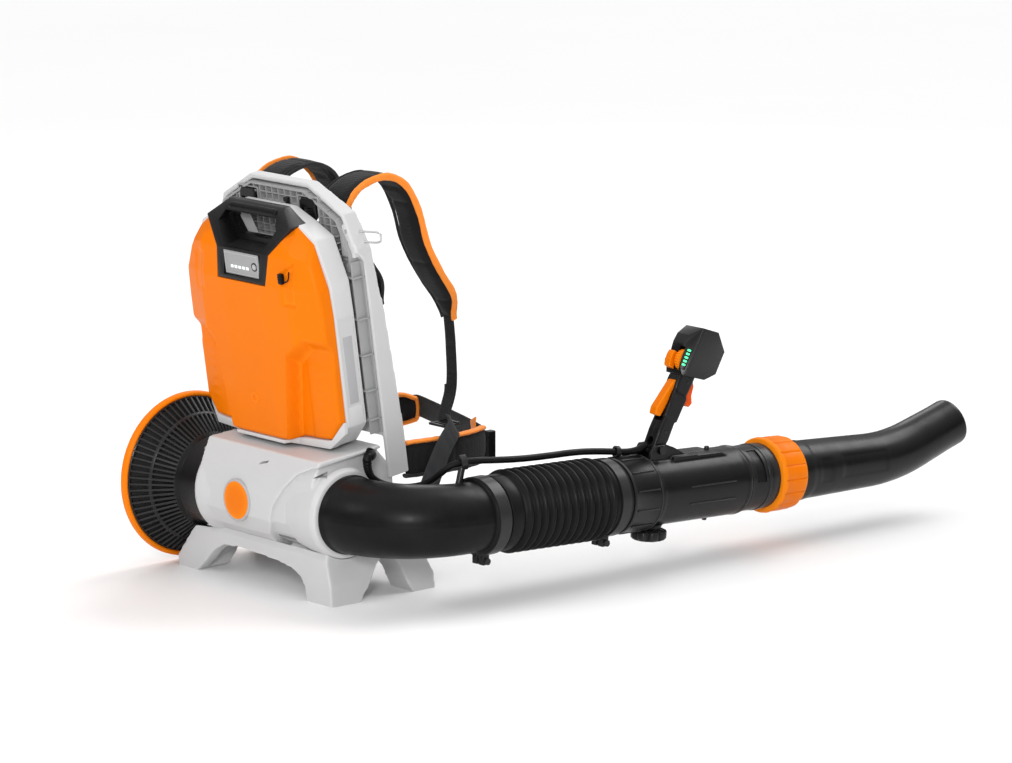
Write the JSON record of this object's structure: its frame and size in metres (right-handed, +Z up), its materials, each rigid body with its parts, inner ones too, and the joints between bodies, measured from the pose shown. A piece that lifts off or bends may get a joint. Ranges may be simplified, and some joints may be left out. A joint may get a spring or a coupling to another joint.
{
  "type": "backpack leaf blower",
  "caption": "Battery backpack leaf blower on a footed frame, with fan housing, swivelling elbow, bellows, blow tube with control grip, and padded harness.",
  "frame": {"origin": "on the floor, in the middle of the footprint of the four feet", "axes": "+X to the wearer's right, where the elbow leaves; +Y forward along the blow tube; +Z up"},
  "size_m": [0.5225, 1.1226, 0.5514],
  "materials": {
    "white_plastic": "fine-grained moulded plastic, light grey to white",
    "orange_plastic": "satin moulded plastic",
    "red_plastic": "satin moulded plastic",
    "black_plastic": "fine-grained moulded plastic",
    "grey_plastic": "moulded plastic",
    "rubber": "smooth dull rubber",
    "steel": "plain steel",
    "aluminium": "as cast",
    "cell_wrap": "shrink-wrapped cells in a holder",
    "contact_metal": "contact blades in a block",
    "pad_fabric": "woven cover over foam, orange piping",
    "webbing": "woven nylon webbing"
  },
  "bodies": {
    "pack": {"base_frame": "white_plastic", "fan_housing_front": "white_plastic", "fan_housing_rear": "white_plastic", "fan_duct": "grey_plastic", "motor_housing": "aluminium", "motor_bearings": "steel", "outlet_collar": "white_plastic", "badge": "orange_plastic", "intake_cage": "black_plastic", "intake_rim": "orange_plastic", "intake_grille": "black_plastic", "controller": "aluminium", "housing_screws": "steel", "back_plate": "white_plastic", "plate_ribs": "grey_plastic", "plate_hooks": "black_plastic", "latch_pins": "steel", "battery_contacts": "contact_metal", "cable_gland": "rubber", "back_pad": "pad_fabric", "shoulder_pad_left": "pad_fabric", "shoulder_pad_right": "pad_fabric", "strap_webbing": "webbing", "harness_buckles": "black_plastic", "hip_pad_left": "pad_fabric", "hip_pad_right": "pad_fabric", "hip_belt": "webbing"},
    "impeller": {"impeller": "black_plastic", "motor_rotor": "steel"},
    "latch_left": {"latch_left": "black_plastic"},
    "latch_right": {"latch_right": "black_plastic"},
    "battery": {"battery_shell": "white_plastic", "battery_cover": "orange_plastic", "battery_frame": "black_plastic", "battery_display": "grey_plastic", "battery_cells": "cell_wrap", "battery_port_cap": "rubber"},
    "battery_button": {"battery_button": "grey_plastic"},
    "elbow": {"elbow": "black_plastic", "clamp_rear": "black_plastic", "cable_clip": "black_plastic", "cable_lower": "rubber"},
    "tube": {"bellows": "rubber", "clamp_front": "black_plastic", "blower_tube": "black_plastic", "handle_bracket": "black_plastic", "cable_upper": "rubber", "cable_tail": "rubber"},
    "knob": {"clamp_knob": "black_plastic"},
    "grip": {"grip_left": "black_plastic", "grip_right": "black_plastic", "head_shell": "black_plastic", "pivot_bolt": "steel", "grip_pins": "steel"},
    "dial": {"dial": "orange_plastic"},
    "rocker": {"rocker": "orange_plastic"},
    "trigger": {"trigger": "red_plastic"},
    "lock_lever": {"lock_lever": "orange_plastic"},
    "ring": {"locking_ring": "orange_plastic"},
    "nozzle": {"nozzle": "black_plastic"}
  },
  "joints": [
    {"name": "fan_spin", "type": "hinge", "parent": "pack", "child": "impeller", "pos_m": [0, -0.052, 0.118], "axis": [1, 0, 0], "continuous": true},
    {"name": "battery_slide", "type": "slide", "parent": "pack", "child": "battery", "axis": [0, -0.1392, 0.9903], "range_m": [0, 0.35]},
    {"name": "battery_button_press", "type": "slide", "parent": "battery", "child": "battery_button", "axis": [0, 0.9903, 0.1392], "range_m": [0, 0.002], "stiffness_N_per_m": 150},
    {"name": "latch_left_turn", "type": "hinge", "parent": "pack", "child": "latch_left", "pos_m": [-0.063, -0.03969, 0.51953], "axis": [1, 0, 0], "range_deg": [0, 18], "stiffness_Nm_per_rad": 0.02},
    {"name": "latch_right_turn", "type": "hinge", "parent": "pack", "child": "latch_right", "pos_m": [0.063, -0.03969, 0.51953], "axis": [1, 0, 0], "range_deg": [0, 18], "stiffness_Nm_per_rad": 0.02},
    {"name": "elbow_swivel", "type": "hinge", "parent": "pack", "child": "elbow", "pos_m": [0.162, -0.052, 0.118], "axis": [1, 0, 0], "range_deg": [-30, 25], "deforming": ["cable_lower"]},
    {"name": "tube_bend", "type": "hinge", "parent": "elbow", "child": "tube", "pos_m": [0.275, 0.188, 0.115], "axis": [0, 0, 1], "range_deg": [-25, 25], "deforming": ["bellows", "cable_upper"]},
    {"name": "knob_turn", "type": "hinge", "parent": "tube", "child": "knob", "pos_m": [0.275, 0.36951, 0.04537], "axis": [0, 0.0366, 0.9993], "range_deg": [0, 180]},
    {"name": "grip_tilt", "type": "hinge", "parent": "tube", "child": "grip", "pos_m": [0.275, 0.376, 0.166], "axis": [1, 0, 0], "range_deg": [-15, 15], "deforming": ["cable_tail"]},
    {"name": "dial_turn", "type": "hinge", "parent": "grip", "child": "dial", "pos_m": [0.275, 0.42941, 0.2795], "axis": [1, 0, 0], "range_deg": [-60, 60]},
    {"name": "rocker_press", "type": "slide", "parent": "grip", "child": "rocker", "axis": [0, 0.866, -0.5], "range_m": [0, 0.003], "stiffness_N_per_m": 200},
    {"name": "trigger_pull", "type": "hinge", "parent": "grip", "child": "trigger", "pos_m": [0.275, 0.43529, 0.2507], "axis": [1, 0, 0], "range_deg": [-12, 0], "stiffness_Nm_per_rad": 0.05},
    {"name": "lock_lever_press", "type": "hinge", "parent": "grip", "child": "lock_lever", "pos_m": [0.275, 0.41227, 0.24783], "axis": [1, 0, 0], "range_deg": [0, 9], "stiffness_Nm_per_rad": 0.05},
    {"name": "ring_twist", "type": "hinge", "parent": "tube", "child": "ring", "pos_m": [0.275, 0.59767, 0.10004], "axis": [0, 0.9993, -0.0366], "range_deg": [0, 30]},
    {"name": "nozzle_slide", "type": "slide", "parent": "tube", "child": "nozzle", "axis": [0, 0.9993, -0.0366], "range_m": [0, 0.07]}
  ]
}
